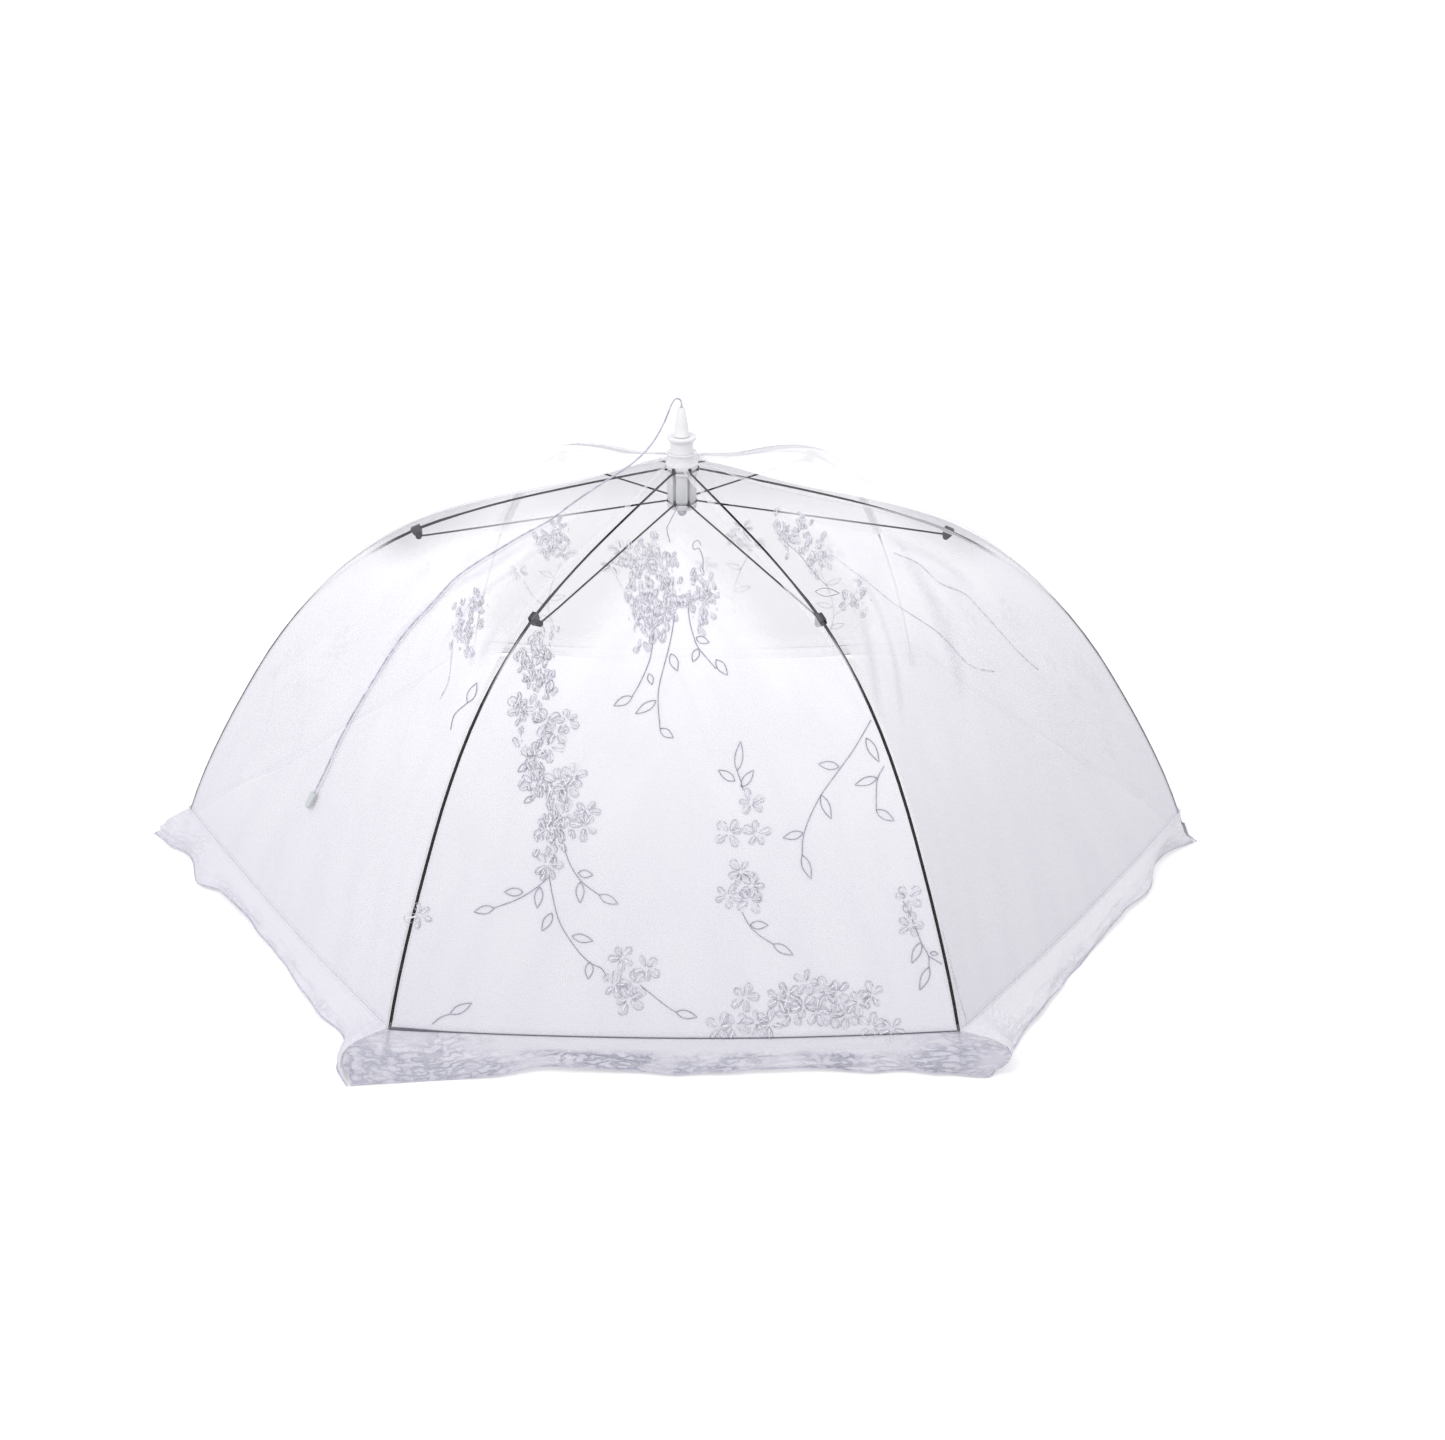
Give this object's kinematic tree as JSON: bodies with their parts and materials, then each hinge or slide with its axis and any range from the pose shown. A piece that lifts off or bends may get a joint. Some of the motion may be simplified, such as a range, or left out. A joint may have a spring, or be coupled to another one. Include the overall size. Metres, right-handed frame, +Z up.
{
  "type": "collapsible food cover",
  "caption": "Pop-up net food cover: a hexagonal dome on folding wire ribs, with struts, a pull-cord runner, floral stitching and a gathered lace edge.",
  "frame": {"origin": "on the table under the middle of the hub, with the cover open and standing on its rib tips", "axes": "+Z up along the hub and the pull cord; +X towards the tip of rib 1; ribs 2 to 6 follow counter-clockwise seen from above"},
  "size_m": [0.585, 0.5108, 0.2566],
  "materials": {
    "graphite_wire": "dark sprung steel wire, satin",
    "rivet_steel": "darkened rivet head",
    "ring_steel": "bright drawn wire",
    "dark_plastic": "matt moulded cap",
    "white_plastic": "white moulded plastic, semi-gloss",
    "milky_plastic": "milky moulded plastic",
    "canopy_net": "sheer lavender-white net, with stitched floral outlines",
    "lace": "gathered lace",
    "hem_tape": "narrow woven tape",
    "cord_thread": "thin braided cord",
    "tab_plastic": "pale grey-green pull tab"
  },
  "bodies": {
    "hub": {"top_hub": "white_plastic", "finial_cone": "white_plastic", "hub_ring_wire": "ring_steel", "top_collar": "canopy_net", "collar_tie": "cord_thread", "inner_cord": "cord_thread", "pull_cord": "cord_thread", "pull_tab": "tab_plastic"},
    "runner": {"runner": "milky_plastic", "runner_ring_wire": "ring_steel", "cord_knot": "cord_thread"},
    "rib_1": {"rib_1": "graphite_wire", "rib_clip_1": "graphite_wire", "rib_tip_1": "dark_plastic", "canopy_panel_1": "canopy_net", "hem_tape_1": "hem_tape", "lace_edge_1": "lace"},
    "strut_1": {"strut_1": "graphite_wire", "strut_rivet_1": "rivet_steel"},
    "rib_2": {"rib_2": "graphite_wire", "rib_clip_2": "graphite_wire", "rib_tip_2": "dark_plastic", "canopy_panel_2": "canopy_net", "hem_tape_2": "hem_tape", "lace_edge_2": "lace"},
    "strut_2": {"strut_2": "graphite_wire", "strut_rivet_2": "rivet_steel"},
    "rib_3": {"rib_3": "graphite_wire", "rib_clip_3": "graphite_wire", "rib_tip_3": "dark_plastic", "canopy_panel_3": "canopy_net", "hem_tape_3": "hem_tape", "lace_edge_3": "lace"},
    "strut_3": {"strut_3": "graphite_wire", "strut_rivet_3": "rivet_steel"},
    "rib_4": {"rib_4": "graphite_wire", "rib_clip_4": "graphite_wire", "rib_tip_4": "dark_plastic", "canopy_panel_4": "canopy_net", "hem_tape_4": "hem_tape", "lace_edge_4": "lace"},
    "strut_4": {"strut_4": "graphite_wire", "strut_rivet_4": "rivet_steel"},
    "rib_5": {"rib_5": "graphite_wire", "rib_clip_5": "graphite_wire", "rib_tip_5": "dark_plastic", "canopy_panel_5": "canopy_net", "hem_tape_5": "hem_tape", "lace_edge_5": "lace"},
    "strut_5": {"strut_5": "graphite_wire", "strut_rivet_5": "rivet_steel"},
    "rib_6": {"rib_6": "graphite_wire", "rib_clip_6": "graphite_wire", "rib_tip_6": "dark_plastic", "canopy_panel_6": "canopy_net", "hem_tape_6": "hem_tape", "lace_edge_6": "lace"},
    "strut_6": {"strut_6": "graphite_wire", "strut_rivet_6": "rivet_steel"}
  },
  "joints": [
    {"name": "runner_slide", "type": "slide", "parent": "hub", "child": "runner", "axis": [0, 0, -1], "range_m": [0, 0.21936], "deforming": ["inner_cord"]},
    {"name": "rib_1_fold", "type": "hinge", "parent": "hub", "child": "rib_1", "pos_m": [0.0075, 0, 0.218], "axis": [0, 1, 0], "range_deg": [0, 45], "deforming": ["canopy_panel_1", "hem_tape_1", "lace_edge_1"]},
    {"name": "rib_2_fold", "type": "hinge", "parent": "hub", "child": "rib_2", "pos_m": [0.00375, 0.00649, 0.218], "axis": [-0.866, 0.5, 0], "range_deg": [0, 45], "deforming": ["canopy_panel_2", "hem_tape_2", "lace_edge_2"]},
    {"name": "rib_3_fold", "type": "hinge", "parent": "hub", "child": "rib_3", "pos_m": [-0.00375, 0.00649, 0.218], "axis": [-0.866, -0.5, 0], "range_deg": [0, 45], "deforming": ["canopy_panel_3", "hem_tape_3", "lace_edge_3"]},
    {"name": "rib_4_fold", "type": "hinge", "parent": "hub", "child": "rib_4", "pos_m": [-0.0075, 0, 0.218], "axis": [0, -1, 0], "range_deg": [0, 45], "deforming": ["canopy_panel_4", "hem_tape_4", "lace_edge_4"]},
    {"name": "rib_5_fold", "type": "hinge", "parent": "hub", "child": "rib_5", "pos_m": [-0.00375, -0.00649, 0.218], "axis": [0.866, -0.5, 0], "range_deg": [0, 45], "deforming": ["canopy_panel_5", "hem_tape_5", "lace_edge_5"]},
    {"name": "rib_6_fold", "type": "hinge", "parent": "hub", "child": "rib_6", "pos_m": [0.00375, -0.00649, 0.218], "axis": [0.866, 0.5, 0], "range_deg": [0, 45], "deforming": ["canopy_panel_6", "hem_tape_6", "lace_edge_6"]},
    {"name": "strut_1_swing", "type": "hinge", "parent": "runner", "child": "strut_1", "pos_m": [0.0065, 0, 0.2], "axis": [0, 1, 0], "range_deg": [-68.22, 0]},
    {"name": "strut_2_swing", "type": "hinge", "parent": "runner", "child": "strut_2", "pos_m": [0.00325, 0.00563, 0.2], "axis": [-0.866, 0.5, 0], "range_deg": [-68.22, 0]},
    {"name": "strut_3_swing", "type": "hinge", "parent": "runner", "child": "strut_3", "pos_m": [-0.00325, 0.00563, 0.2], "axis": [-0.866, -0.5, 0], "range_deg": [-68.22, 0]},
    {"name": "strut_4_swing", "type": "hinge", "parent": "runner", "child": "strut_4", "pos_m": [-0.0065, 0, 0.2], "axis": [0, -1, 0], "range_deg": [-68.22, 0]},
    {"name": "strut_5_swing", "type": "hinge", "parent": "runner", "child": "strut_5", "pos_m": [-0.00325, -0.00563, 0.2], "axis": [0.866, -0.5, 0], "range_deg": [-68.22, 0]},
    {"name": "strut_6_swing", "type": "hinge", "parent": "runner", "child": "strut_6", "pos_m": [0.00325, -0.00563, 0.2], "axis": [0.866, 0.5, 0], "range_deg": [-68.22, 0]}
  ],
  "couplings": [
    {"joint": "rib_1_fold", "follows": "runner_slide", "rad_per_m": 3.5804},
    {"joint": "rib_2_fold", "follows": "runner_slide", "rad_per_m": 3.5804},
    {"joint": "rib_3_fold", "follows": "runner_slide", "rad_per_m": 3.5804},
    {"joint": "rib_4_fold", "follows": "runner_slide", "rad_per_m": 3.5804},
    {"joint": "rib_5_fold", "follows": "runner_slide", "rad_per_m": 3.5804},
    {"joint": "rib_6_fold", "follows": "runner_slide", "rad_per_m": 3.5804},
    {"joint": "strut_1_swing", "follows": "runner_slide", "rad_per_m": -5.4277},
    {"joint": "strut_2_swing", "follows": "runner_slide", "rad_per_m": -5.4277},
    {"joint": "strut_3_swing", "follows": "runner_slide", "rad_per_m": -5.4277},
    {"joint": "strut_4_swing", "follows": "runner_slide", "rad_per_m": -5.4277},
    {"joint": "strut_5_swing", "follows": "runner_slide", "rad_per_m": -5.4277},
    {"joint": "strut_6_swing", "follows": "runner_slide", "rad_per_m": -5.4277}
  ]
}
